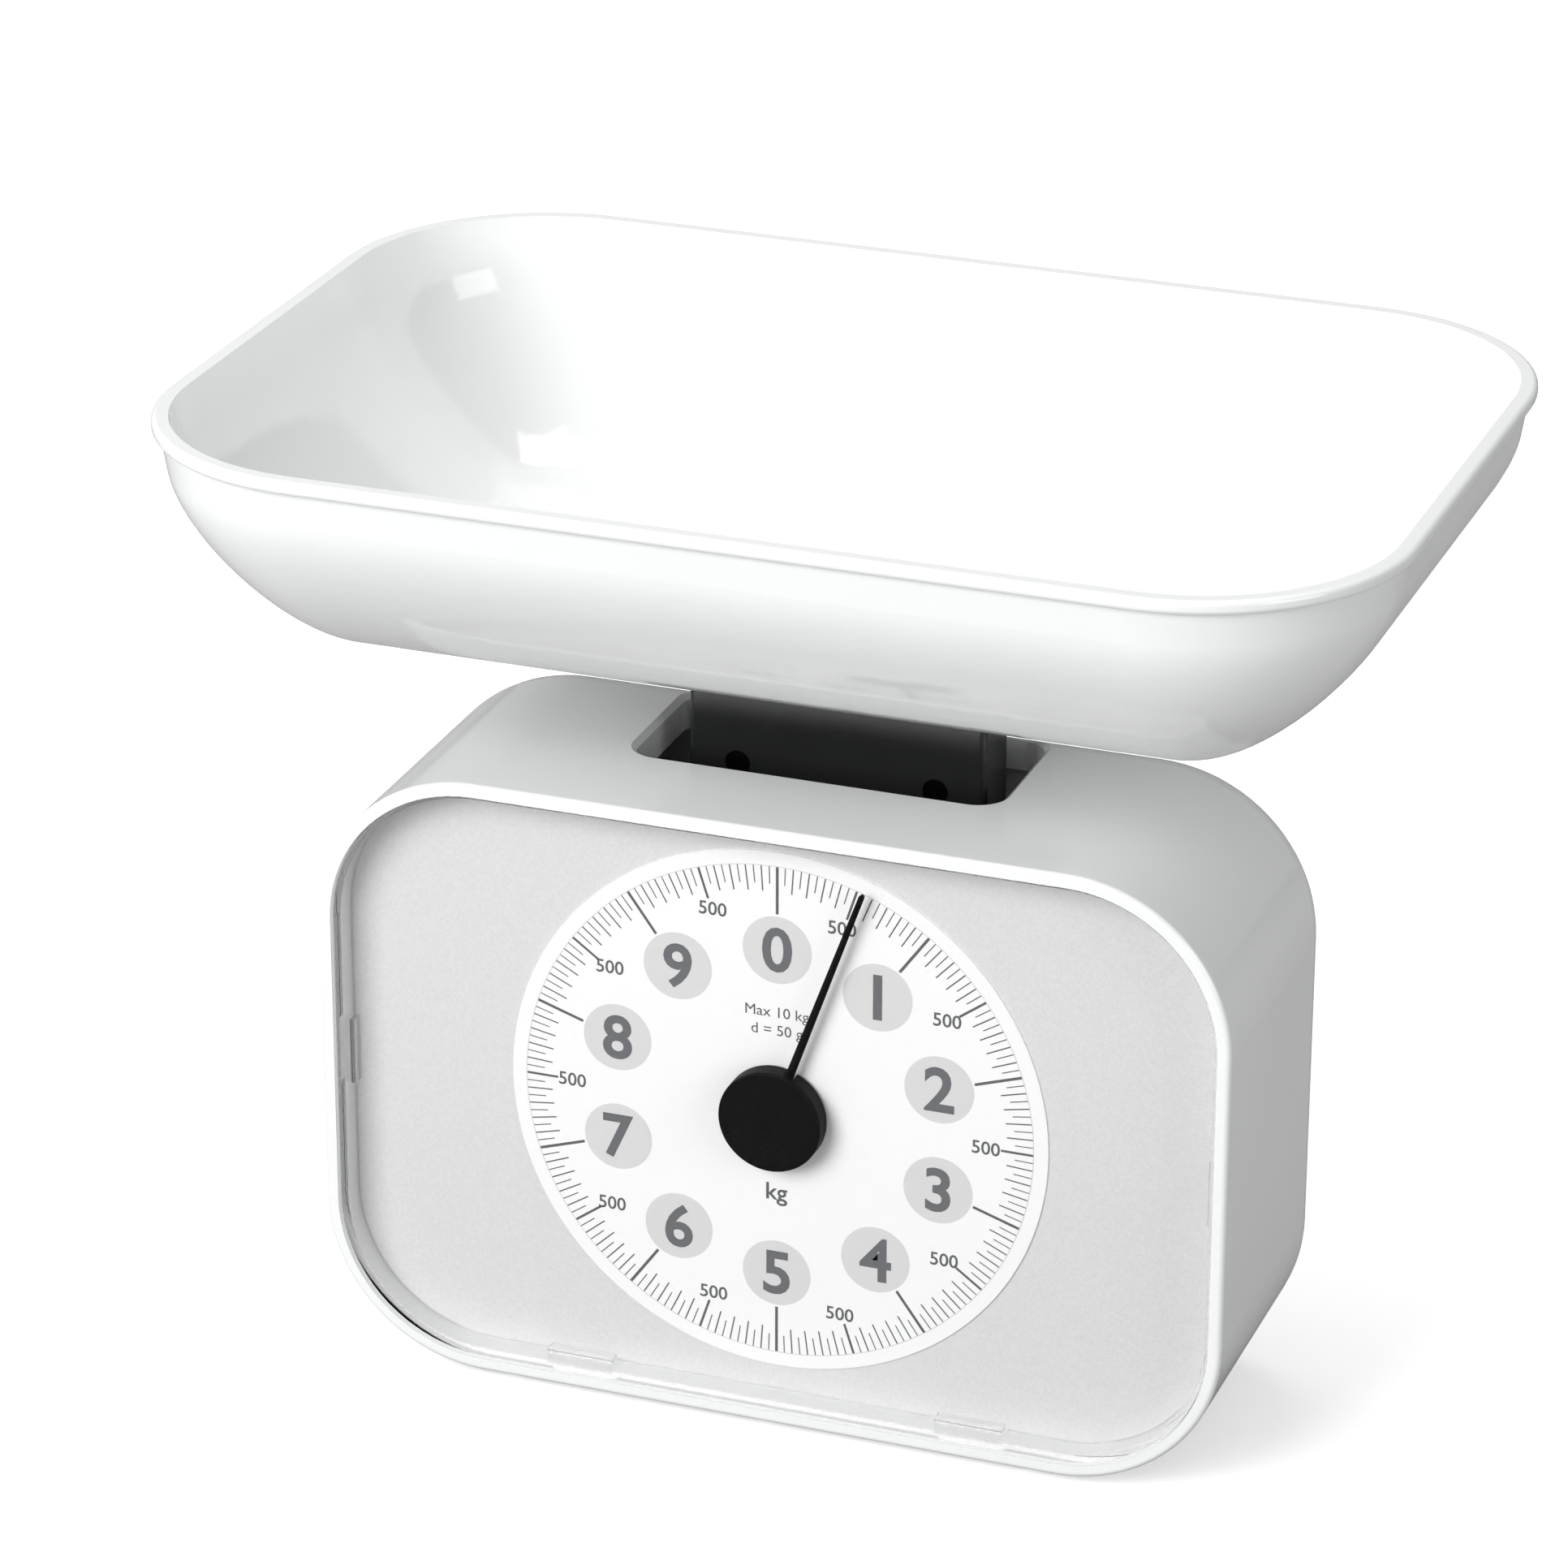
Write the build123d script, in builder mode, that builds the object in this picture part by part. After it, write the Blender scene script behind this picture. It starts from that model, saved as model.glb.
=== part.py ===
"""Mechanical dial kitchen scale with a lift-off pan.

Frame: millimetres, +Z up, X to the right, Y to the back. The scale faces -Y. The origin is on the
surface that the scale stands on, under the middle of the post and the pan.

The pan sits on a cap on a flat post. The post is fixed to a carriage, which two parallel levers guide
straight down between two movement plates. One tension spring holds the carriage up. A rack on the
carriage turns a pinion, whose shaft carries the pointer round the dial, once for the full load.
"""
import os
from math import asin, cos, degrees, pi, radians, sin, tan

from build123d import *

os.makedirs("parts", exist_ok=True)

# ---- Driving sizes ---------------------------------------------------------------------------------

# General fits
running_clearance = 0.05
seat_clearance = 0.2
rest_gap = 0.3
cut_margin = 1.0

# Housing
foot_height = 1.5
body_width = 202.6
body_height = 139.0
body_depth = 73.0
body_corner = 36.1
wall = 2.8
back_edge_radius = 11.0
front_edge_radius = 1.2
ledge_width = 4.0
ledge_thickness = 3.0
lug_width = 3.6
lug_height = 1.2
lug_length = 4.0
lug_pitch = 59.0
lug_count = 3
lug_setback = 3.0
lug_draft = 8.0

# Post slot in the top of the housing
slot_length = 82.0
slot_setback = 28.3
slot_depth = 37.7
slot_lip = 1.2
slot_corner = 6.0
slot_collar_wall = 1.8
slot_collar_depth = 8.0

# Window and dial
lens_recess = 0.8
lens_thickness = 1.5
lens_skirt_wall = 1.2
lens_clip_width = 15.0
lens_clip_depth = 1.1
lens_clip_height = 3.2
lens_clip_pitch = 89.0
lens_edge_radius = 0.4
dial_plate_thickness = 1.2
dial_card_thickness = 0.4
dial_card_diameter = 120.6
dial_hole_diameter = 16.0
dial_centre_z = 71.5
dial_setback = 8.5

# Pointer
hub_diameter = 23.0
hub_thickness = 4.2
hub_wall = 1.4
hub_edge_radius = 0.5
hub_dial_gap = 0.8
needle_length = 58.4
needle_root_width = 1.9
needle_tip_width = 1.1
needle_thickness = 1.0
needle_ring_diameter = 12.0
shaft_diameter = 2.0
shaft_end = 0.8

# Rack and pinion
gear_module = 0.5
pinion_teeth = 10
pinion_width = 5.0
tooth_thickness = 0.58
tooth_addendum = 0.45
tooth_dedendum = 0.65
pressure_angle = 20.0
rack_back_width = 5.0
rack_end_margin = 4.0
bracket_height = 10.0
bracket_rise = 1.5
rivet_radius = 1.0
rivet_pitch = 5.0
rivet_head_radius = 1.6
rivet_head_height = 0.8
rivet_head_taper = 20.0
shown_load = 0.55
full_load = 10.0

# Movement plates
plate_thickness = 1.5
plate_width = 168.0
plate_height = 100.0
plate_gap = 32.1
plate_window_width = 32.0
plate_window_height = 44.0
plate_window_pitch = 84.0
pillar_diameter = 7.0
pillar_inset = 6.0
boss_diameter = 9.0
boss_pitch_x = 148.0
boss_pitch_z = 56.0
screw_diameter = 3.0
screw_head_diameter = 5.6
screw_head_height = 1.8
screw_head_play = 1.0
screw_slot_width = 0.8
screw_length = 8.0
post_screw_length = 7.0

# Bearing bridge
bridge_gap = 1.3
bridge_left = -14.0
bridge_right = 3.2
bridge_height = 30.0
bridge_pillar_diameter = 5.0
bridge_pillar_x = -10.0
bridge_pillar_pitch = 22.0
bridge_bush_diameter = 3.6
bush_diameter = 5.0
bush_flange_diameter = 6.4
bush_flange_thickness = 0.5

# Post, carriage and pan seat
post_width = 67.0
post_depth = 15.0
post_corner = 1.5
post_wall = 2.0
post_setback = 51.7
post_bottom_z = 129.0
post_screw_pitch = 44.6
post_screw_rise = 5.4
pan_seat_z = 169.2
seat_width = 90.0
seat_depth = 34.0
seat_corner = 6.0
seat_thickness = 4.0
seat_plug_length = 8.0
seat_chamfer = 0.6
carriage_tongue = 16.0
carriage_collar = 2.0
window_width = 36.0
window_bottom_z = 31.0
window_top_z = 113.0
window_corner = 4.5

# Levers
lever_pivot_x = -60.0
upper_pivot_z = 108.0
lower_pivot_z = 34.0
lever_arm_height = 8.0
lever_thickness = 1.5
lever_side_gap = 1.9
lever_plate_gap = 2.2
lever_web_start = 8.0
lever_web_length = 16.0
lever_slot_play = 0.15
lever_slot_travel = 1.0
pin_diameter = 3.0
pin_head_diameter = 6.0
pin_head_thickness = 1.0
clip_thickness = 0.6
clip_diameter = 6.0

# Spring and zero adjuster
spring_wire = 1.6
spring_diameter = 8.4
spring_turns = 26
spring_pin_diameter = 3.2
spring_anchor_z = 92.0
spring_foot_z = 26.0
spring_pocket_width = 12.0
spring_pocket_depth = 6.6
hook_tail = 1.5
hook_wire_share = 0.97
adjuster_throw = 2.0
adjuster_shaft_diameter = 4.0
crank_disc_diameter = 10.0
crank_disc_thickness = 2.0
crank_pin_inset = 2.1
crank_head_overhang = 0.6
crank_head_thickness = 0.8
adjuster_bush_wall = 1.5
adjuster_flange_overhang = 1.0
washer_wall = 1.4
knob_diameter = 24.0
knob_length = 9.0
knob_cap = 2.0
knob_chamfer = 0.5
knob_flutes = 18
flute_diameter = 1.6

# Pan
pan_length = 268.0
pan_width = 182.4
pan_corner = 46.0
pan_rim_z = 219.0
pan_wall = 2.4
pan_draft = 9.0
pan_curve_inset = 40.0
pan_curve_height = 38.8
pan_curve_pull = 0.35
pan_rim_width = 3.6
pan_rim_height = 3.0
pan_rim_edge = 1.2
pan_socket_wall = 2.4
pan_socket_depth = 3.6
pan_socket_play = 0.5

# Feet and overload stop
foot_diameter = 12.0
foot_recess = 1.0
foot_pitch_x = 110.0
foot_pitch_y = 38.0
foot_chamfer = 0.5
stop_pad_length = 24.0
stop_pad_width = 8.0
stop_pad_corner = 2.0
stop_pad_height = 1.6

# ---- Worked-out places -----------------------------------------------------------------------------

post_centre_y = 0.0
front_y = post_centre_y - post_setback
back_y = front_y + body_depth
body_mid_y = front_y + body_depth / 2
slot_mid_y = front_y + slot_setback + slot_depth / 2
body_mid_z = foot_height + body_height / 2
body_top_z = foot_height + body_height
opening_width = body_width - 2 * wall
opening_height = body_height - 2 * wall
opening_corner = body_corner - wall
floor_z = foot_height + wall
inner_back_y = back_y - wall

dial_card_y = front_y + dial_setback
dial_plate_y = dial_card_y + dial_card_thickness
ledge_y = dial_plate_y + dial_plate_thickness
lens_front_y = front_y + lens_recess
lens_back_y = lens_front_y + lens_thickness
hub_back_y = dial_card_y - hub_dial_gap
hub_front_y = hub_back_y - hub_thickness

pitch_radius = gear_module * pinion_teeth / 2
tooth_pitch = pi * gear_module
full_travel = 2 * pi * pitch_radius
travel_up = full_travel * shown_load / full_load
travel_down = full_travel - travel_up
pointer_angle = 360 * shown_load / full_load

carriage_width = post_width - 2 * post_wall - 2 * seat_clearance
carriage_depth = post_depth - 2 * post_wall - 2 * seat_clearance
carriage_front_y = post_centre_y - carriage_depth / 2
carriage_rear_y = post_centre_y + carriage_depth / 2
carriage_pin_x = (carriage_width + window_width) / 4
lever_length = carriage_pin_x - lever_pivot_x
lever_rise = full_travel / 2 - travel_up
lever_angle = degrees(asin(lever_rise / lever_length))
lever_inner_gap = carriage_depth + 2 * lever_side_gap
lever_outer_gap = lever_inner_gap + 2 * lever_thickness
lever_front_y = post_centre_y - lever_outer_gap / 2
lever_rear_y = post_centre_y + lever_outer_gap / 2

rear_plate_y = lever_rear_y + lever_plate_gap
rear_plate_back_y = rear_plate_y + plate_thickness
front_plate_back_y = rear_plate_y - plate_gap
front_plate_y = front_plate_back_y - plate_thickness
pinion_y = front_plate_back_y + screw_head_play
pinion_back_y = pinion_y + pinion_width
bridge_y = pinion_back_y + bridge_gap
bridge_back_y = bridge_y + plate_thickness
carriage_bottom_z = floor_z + stop_pad_height + rest_gap + travel_down


def depth_plane(y):
    """The drawing plane at depth y: seen from the front, with X to the right and Z up."""
    return Plane.XZ.offset(-y)


def save(piece, label):
    """Name a finished piece and write it to its own file."""
    piece.part.label = label
    export_step(piece.part, f"parts/{label}.step")


def corner_points(pitch_x, pitch_z, mid_z=body_mid_z, mid_x=0.0):
    """The four corners of a rectangle about the middle of the housing."""
    return [(mid_x + i * pitch_x / 2, mid_z + k * pitch_z / 2) for i in (-1, 1) for k in (-1, 1)]


# ---- Housing ---------------------------------------------------------------------------------------

# The hollow inside the housing, open at the front, with its back corners rounded like the outside.
with BuildPart() as cavity:
    with BuildSketch(depth_plane(front_y)):
        with Locations((0, body_mid_z)):
            RectangleRounded(opening_width, opening_height, opening_corner)
    extrude(amount=-(body_depth - wall))
    fillet(cavity.faces().sort_by(Axis.Y)[-1].edges(), back_edge_radius - wall)

boss_points = corner_points(boss_pitch_x, boss_pitch_z)
adjuster_x = -adjuster_throw

with BuildPart() as housing:
    with BuildSketch(depth_plane(front_y)):
        with Locations((0, body_mid_z)):
            RectangleRounded(body_width, body_height, body_corner)
    extrude(amount=-body_depth)
    fillet(housing.faces().sort_by(Axis.Y)[-1].edges(), back_edge_radius)
    fillet(housing.faces().sort_by(Axis.Y)[0].edges(), front_edge_radius)
    add(cavity.part, mode=Mode.SUBTRACT)
    # Ledge that the dial plate lies on
    with BuildSketch(depth_plane(ledge_y)):
        with Locations((0, body_mid_z)):
            RectangleRounded(opening_width + wall, opening_height + wall, opening_corner + wall / 2)
            RectangleRounded(
                opening_width - 2 * ledge_width,
                opening_height - 2 * ledge_width,
                opening_corner - ledge_width,
                mode=Mode.SUBTRACT,
            )
    extrude(amount=-ledge_thickness)
    # Collar and slot for the post
    with BuildSketch(Plane.XY.offset(body_top_z - wall)):
        with Locations((0, slot_mid_y)):
            RectangleRounded(
                slot_length + 2 * slot_collar_wall,
                slot_depth + 2 * slot_collar_wall,
                slot_corner + slot_collar_wall,
            )
    extrude(amount=wall - slot_collar_depth)
    with BuildSketch(Plane.XY.offset(body_top_z + cut_margin)):
        with Locations((0, slot_mid_y)):
            RectangleRounded(slot_length, slot_depth, slot_corner)
    extrude(amount=-(slot_collar_depth + 2 * cut_margin), mode=Mode.SUBTRACT)
    with BuildSketch(Plane.XY.offset(body_top_z)):
        with Locations((0, slot_mid_y)):
            RectangleRounded(
                slot_length + 2 * slot_lip,
                slot_depth + 2 * slot_lip,
                slot_corner + slot_lip,
            )
    extrude(amount=-slot_lip, taper=45, mode=Mode.SUBTRACT)
    # Bosses for the movement, inside the back wall
    with BuildSketch(depth_plane(rear_plate_back_y)):
        with Locations(*boss_points):
            Circle(boss_diameter / 2)
    extrude(amount=-(inner_back_y - rear_plate_back_y + wall / 2))
    with BuildSketch(depth_plane(rear_plate_back_y)):
        with Locations(*boss_points):
            Circle(screw_diameter / 2 + running_clearance)
    extrude(amount=-(screw_length - plate_thickness + rest_gap), mode=Mode.SUBTRACT)
    # Hole for the zero adjuster's shaft
    with BuildSketch(depth_plane(inner_back_y - cut_margin)):
        with Locations((adjuster_x, spring_anchor_z)):
            Circle(adjuster_shaft_diameter / 2 + rest_gap)
    extrude(amount=-(wall + 2 * cut_margin), mode=Mode.SUBTRACT)
    # Recesses for the feet, and the small lugs under the front edge
    with BuildSketch(Plane.XY.offset(foot_height)):
        with Locations((0, body_mid_y)):
            with GridLocations(foot_pitch_x, foot_pitch_y, 2, 2):
                Circle(foot_diameter / 2 + seat_clearance)
    extrude(amount=foot_recess, mode=Mode.SUBTRACT)
    with BuildSketch(Plane.XY.offset(foot_height + wall / 2)):
        with Locations((0, front_y + lug_setback + lug_length / 2)):
            with GridLocations(lug_pitch, 0, lug_count, 1):
                Rectangle(lug_width, lug_length)
    extrude(amount=-(lug_height + wall / 2), taper=lug_draft)
save(housing, "housing")

with BuildPart() as rubber_feet:
    with BuildSketch(Plane.XY):
        with Locations((0, body_mid_y)):
            with GridLocations(foot_pitch_x, foot_pitch_y, 2, 2):
                Circle(foot_diameter / 2)
    extrude(amount=foot_height + foot_recess)
    chamfer(rubber_feet.edges().group_by(Axis.Z)[0], foot_chamfer)
save(rubber_feet, "rubber_feet")

with BuildPart() as overload_pad:
    with BuildSketch(Plane.XY.offset(floor_z)):
        with Locations((0, post_centre_y)):
            RectangleRounded(stop_pad_length, stop_pad_width, stop_pad_corner)
    extrude(amount=stop_pad_height)
save(overload_pad, "overload_pad")

# ---- Window and dial -------------------------------------------------------------------------------

lens_width = opening_width - 2 * seat_clearance
lens_height = opening_height - 2 * seat_clearance
lens_corner = opening_corner - seat_clearance
skirt_depth = dial_plate_y - lens_back_y - rest_gap
clip_points = corner_points(lens_clip_pitch, lens_height - 2 * lens_skirt_wall)
side_clip_x = lens_width / 2 - lens_skirt_wall

with BuildPart() as lens:
    with BuildSketch(depth_plane(lens_front_y)):
        with Locations((0, body_mid_z)):
            RectangleRounded(lens_width, lens_height, lens_corner)
    extrude(amount=-lens_thickness)
    with BuildSketch(depth_plane(lens_back_y)):
        with Locations((0, body_mid_z)):
            RectangleRounded(lens_width, lens_height, lens_corner)
            RectangleRounded(
                lens_width - 2 * lens_skirt_wall,
                lens_height - 2 * lens_skirt_wall,
                lens_corner - lens_skirt_wall,
                mode=Mode.SUBTRACT,
            )
    extrude(amount=-skirt_depth)
    with BuildSketch(depth_plane(lens_back_y + skirt_depth)):
        with Locations(*clip_points):
            Rectangle(lens_clip_width, 2 * lens_clip_depth)
        with Locations((-side_clip_x, body_mid_z), (side_clip_x, body_mid_z)):
            Rectangle(2 * lens_clip_depth, lens_clip_width)
    extrude(amount=lens_clip_height)
    fillet(lens.faces().sort_by(Axis.Y)[0].edges(), lens_edge_radius)
save(lens, "lens")

with BuildPart() as dial_plate:
    with BuildSketch(depth_plane(dial_plate_y)):
        with Locations((0, body_mid_z)):
            RectangleRounded(lens_width, lens_height, lens_corner)
        with Locations((0, dial_centre_z)):
            Circle(dial_hole_diameter / 2, mode=Mode.SUBTRACT)
    extrude(amount=-dial_plate_thickness)
save(dial_plate, "dial_plate")

with BuildPart() as dial_card:
    with BuildSketch(depth_plane(dial_card_y)):
        with Locations((0, dial_centre_z)):
            Circle(dial_card_diameter / 2)
            Circle(dial_hole_diameter / 2, mode=Mode.SUBTRACT)
    extrude(amount=-dial_card_thickness)
save(dial_card, "dial_card")

# ---- Pointer ---------------------------------------------------------------------------------------

dial_centre = (0, dial_centre_z)
needle_y = (hub_front_y + hub_back_y - needle_thickness) / 2
needle_direction = (sin(radians(pointer_angle)), 0, cos(radians(pointer_angle)))
needle_plane = Plane(origin=(0, needle_y, dial_centre_z), x_dir=needle_direction, z_dir=(0, -1, 0))
needle_tip_x = needle_length - needle_tip_width / 2

# The needle is a thin tapered blade on a ring that fits over the shaft inside the hub.
with BuildPart() as needle:
    with BuildSketch(needle_plane):
        Circle(needle_ring_diameter / 2)
        with BuildLine():
            Polyline(
                (0, needle_root_width / 2),
                (needle_tip_x, needle_tip_width / 2),
                (needle_tip_x, -needle_tip_width / 2),
                (0, -needle_root_width / 2),
                close=True,
            )
        make_face()
        with Locations((needle_tip_x, 0)):
            Circle(needle_tip_width / 2)
        Circle(shaft_diameter / 2 + running_clearance / 2, mode=Mode.SUBTRACT)
    extrude(amount=-needle_thickness)
save(needle, "pointer_needle")

with BuildPart() as hub:
    with BuildSketch(depth_plane(hub_front_y)):
        with Locations(dial_centre):
            Circle(hub_diameter / 2)
    extrude(amount=-hub_thickness)
    fillet(hub.faces().sort_by(Axis.Y)[0].edges(), hub_edge_radius)
    with BuildSketch(depth_plane(needle_y)):
        with Locations(dial_centre):
            Circle(hub_diameter / 2 - hub_wall)
    extrude(amount=-hub_thickness, mode=Mode.SUBTRACT)
    with BuildSketch(needle_plane):
        with Locations((hub_diameter / 2, 0)):
            Rectangle(hub_diameter, needle_root_width + 2 * seat_clearance)
    extrude(amount=-hub_thickness, mode=Mode.SUBTRACT)
save(hub, "pointer_hub")

with BuildPart() as pointer_shaft:
    with BuildSketch(depth_plane(needle_y)):
        with Locations(dial_centre):
            Circle(shaft_diameter / 2)
    extrude(amount=-(bridge_back_y + shaft_end - needle_y))
save(pointer_shaft, "pointer_shaft")


def tooth_outline(base, tip):
    """Half widths of a tooth at its foot and its tip, from the pressure angle."""
    slope = tan(radians(pressure_angle))
    return tooth_thickness / 2 + base * slope, tooth_thickness / 2 - tip * slope


tooth_foot, tooth_tip = tooth_outline(tooth_dedendum, tooth_addendum)

# One tooth of the pinion, standing out along X from the shaft's centre.
with BuildSketch() as pinion_tooth:
    with BuildLine():
        Polyline(
            (pitch_radius / 2, tooth_foot),
            (pitch_radius - tooth_dedendum, tooth_foot),
            (pitch_radius + tooth_addendum, tooth_tip),
            (pitch_radius + tooth_addendum, -tooth_tip),
            (pitch_radius - tooth_dedendum, -tooth_foot),
            (pitch_radius / 2, -tooth_foot),
            close=True,
        )
    make_face()

with BuildPart() as pinion:
    with BuildSketch(depth_plane(pinion_y)):
        with Locations(dial_centre):
            Circle(pitch_radius - tooth_dedendum)
            with PolarLocations(0, pinion_teeth, start_angle=180 / pinion_teeth):
                add(pinion_tooth.sketch)
            Circle(shaft_diameter / 2 + running_clearance / 2, mode=Mode.SUBTRACT)
    extrude(amount=-pinion_width)
save(pinion, "pinion")

# ---- Movement plates -------------------------------------------------------------------------------

pillar_points = corner_points(plate_width - 2 * pillar_inset, plate_height - 2 * pillar_inset)
pivot_points = [(lever_pivot_x, upper_pivot_z), (lever_pivot_x, lower_pivot_z)]
screw_hole = screw_diameter / 2 + running_clearance
pin_hole = pin_diameter / 2 + running_clearance / 2


def plate_outline():
    """What both movement plates share: the outline, pillar and pivot holes, and two windows."""
    with Locations((0, body_mid_z)):
        RectangleRounded(plate_width, plate_height, pillar_inset)
    with Locations(*pillar_points):
        Circle(screw_hole, mode=Mode.SUBTRACT)
    with Locations(*pivot_points):
        Circle(pin_hole, mode=Mode.SUBTRACT)
    with Locations((0, body_mid_z)):
        with GridLocations(plate_window_pitch, 0, 2, 1):
            RectangleRounded(plate_window_width, plate_window_height, pillar_inset, mode=Mode.SUBTRACT)


def add_screws(points, seat_y, side, length, head_height=screw_head_height):
    """Slotted pan-head screws. side is 1 where the heads face the front and -1 where they face the back."""
    with BuildSketch(depth_plane(seat_y)) as heads:
        with Locations(*points):
            Circle(screw_head_diameter / 2)
    extrude(heads.sketch, amount=side * head_height)
    with BuildSketch(depth_plane(seat_y)) as shanks:
        with Locations(*points):
            Circle(screw_diameter / 2)
    extrude(shanks.sketch, amount=-side * length)
    with BuildSketch(depth_plane(seat_y - side * head_height)) as slots:
        with Locations(*points):
            Rectangle(screw_head_diameter + cut_margin, screw_slot_width)
    extrude(slots.sketch, amount=-side * head_height / 2, mode=Mode.SUBTRACT)


bridge_points = [(bridge_pillar_x, dial_centre_z + k * bridge_pillar_pitch / 2) for k in (-1, 1)]

with BuildPart() as front_plate:
    with BuildSketch(depth_plane(front_plate_y)):
        plate_outline()
        with Locations(*boss_points):
            Circle(screw_head_diameter / 2 + screw_head_play, mode=Mode.SUBTRACT)
        with Locations(*bridge_points):
            Circle(screw_hole, mode=Mode.SUBTRACT)
        with Locations(dial_centre):
            Circle(bush_diameter / 2 + running_clearance / 2, mode=Mode.SUBTRACT)
    extrude(amount=-plate_thickness)
save(front_plate, "front_plate")

adjuster_point = (adjuster_x, spring_anchor_z)
adjuster_bush_diameter = adjuster_shaft_diameter + 2 * adjuster_bush_wall

with BuildPart() as rear_plate:
    with BuildSketch(depth_plane(rear_plate_y)):
        plate_outline()
        with Locations(*boss_points):
            Circle(screw_hole, mode=Mode.SUBTRACT)
        with Locations(adjuster_point):
            Circle(adjuster_bush_diameter / 2 + running_clearance / 2, mode=Mode.SUBTRACT)
    extrude(amount=-plate_thickness)
save(rear_plate, "rear_plate")

with BuildPart() as plate_pillars:
    with BuildSketch(depth_plane(front_plate_back_y)):
        with Locations(*pillar_points):
            Circle(pillar_diameter / 2)
            Circle(screw_hole, mode=Mode.SUBTRACT)
    extrude(amount=-(rear_plate_y - front_plate_back_y))
save(plate_pillars, "plate_pillars")

with BuildPart() as pillar_screws:
    add_screws(pillar_points, front_plate_y, 1, screw_length)
    add_screws(pillar_points, rear_plate_back_y, -1, screw_length)
save(pillar_screws, "pillar_screws")

with BuildPart() as movement_screws:
    add_screws(boss_points, rear_plate_y, 1, screw_length)
save(movement_screws, "movement_screws")

# ---- Bearing bridge and bushes ---------------------------------------------------------------------

bridge_length = bridge_right - bridge_left
bridge_mid_x = (bridge_right + bridge_left) / 2
bridge_screw_length = bridge_y - front_plate_y - rest_gap

with BuildPart() as bearing_bridge:
    with BuildSketch(depth_plane(bridge_y)):
        with Locations((bridge_mid_x, dial_centre_z)):
            RectangleRounded(bridge_length, bridge_height, bridge_pillar_diameter / 2)
        with Locations(dial_centre):
            Circle(bridge_bush_diameter / 2 + running_clearance / 2, mode=Mode.SUBTRACT)
    extrude(amount=-plate_thickness)
    with BuildSketch(depth_plane(front_plate_back_y)):
        with Locations(*bridge_points):
            Circle(bridge_pillar_diameter / 2)
    extrude(amount=-(bridge_y - front_plate_back_y))
    with BuildSketch(depth_plane(front_plate_back_y)):
        with Locations(*bridge_points):
            Circle(screw_hole)
    extrude(amount=-bridge_screw_length, mode=Mode.SUBTRACT)
save(bearing_bridge, "bearing_bridge")

with BuildPart() as bridge_screws:
    add_screws(bridge_points, front_plate_y, 1, bridge_screw_length)
save(bridge_screws, "bridge_screws")


def add_bush(point, start_y, end_y, outer, bore, flange, flange_side):
    """A turned bush from start_y to end_y, with a flange outside its front (1) or its back (-1)."""
    with BuildSketch(depth_plane(start_y)) as barrel:
        with Locations(point):
            Circle(outer / 2)
    extrude(barrel.sketch, amount=start_y - end_y)
    with BuildSketch(depth_plane(start_y if flange_side == 1 else end_y)) as collar:
        with Locations(point):
            Circle(flange / 2)
    extrude(collar.sketch, amount=flange_side * bush_flange_thickness)
    with BuildSketch(depth_plane(start_y - 2 * bush_flange_thickness)) as hole:
        with Locations(point):
            Circle(bore / 2 + running_clearance)
    extrude(hole.sketch, amount=start_y - end_y - 4 * bush_flange_thickness, mode=Mode.SUBTRACT)


with BuildPart() as front_bush:
    add_bush(
        dial_centre,
        front_plate_y,
        front_plate_back_y,
        bush_diameter,
        shaft_diameter,
        bush_flange_diameter,
        1,
    )
save(front_bush, "front_bush")

with BuildPart() as bridge_bush:
    add_bush(dial_centre, bridge_y, bridge_back_y, bridge_bush_diameter, shaft_diameter, bush_diameter, 1)
save(bridge_bush, "bridge_bush")

# ---- Zero adjuster ---------------------------------------------------------------------------------

# A shaft with a crank pin, which the spring hangs from. Turning it lifts or lowers the spring.
crank_pin_end_y = carriage_front_y + crank_pin_inset
crank_disc_y = carriage_rear_y + rest_gap + seat_clearance
crank_disc_back_y = crank_disc_y + crank_disc_thickness
knob_y = back_y + rest_gap
knob_bore_depth = knob_length - knob_cap
adjuster_flange_diameter = adjuster_bush_diameter + 2 * adjuster_flange_overhang

with BuildPart() as adjuster_bush:
    add_bush(
        adjuster_point,
        rear_plate_y,
        rear_plate_back_y,
        adjuster_bush_diameter,
        adjuster_shaft_diameter,
        adjuster_flange_diameter,
        -1,
    )
save(adjuster_bush, "adjuster_bush")

with BuildPart() as adjuster_shaft:
    with BuildSketch(depth_plane(crank_disc_y)):
        with Locations(adjuster_point):
            Circle(crank_disc_diameter / 2)
    extrude(amount=-crank_disc_thickness)
    with BuildSketch(depth_plane(crank_disc_back_y)):
        with Locations(adjuster_point):
            Circle(adjuster_shaft_diameter / 2)
    extrude(amount=-(knob_y + knob_bore_depth - crank_disc_back_y))
    with BuildSketch(depth_plane(crank_disc_y)):
        with Locations((adjuster_x + adjuster_throw, spring_anchor_z)):
            Circle(spring_pin_diameter / 2)
    extrude(amount=crank_disc_y - crank_pin_end_y)
    with BuildSketch(depth_plane(crank_pin_end_y)):
        with Locations((adjuster_x + adjuster_throw, spring_anchor_z)):
            Circle(spring_pin_diameter / 2 + crank_head_overhang)
    extrude(amount=crank_head_thickness)
save(adjuster_shaft, "adjuster_shaft")

with BuildPart() as adjuster_washer:
    with BuildSketch(depth_plane(crank_disc_back_y + seat_clearance)):
        with Locations(adjuster_point):
            Circle(adjuster_shaft_diameter / 2 + washer_wall)
            Circle(adjuster_shaft_diameter / 2 + running_clearance, mode=Mode.SUBTRACT)
    extrude(amount=-(rear_plate_y - crank_disc_back_y - 2 * seat_clearance))
save(adjuster_washer, "adjuster_washer")

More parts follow.
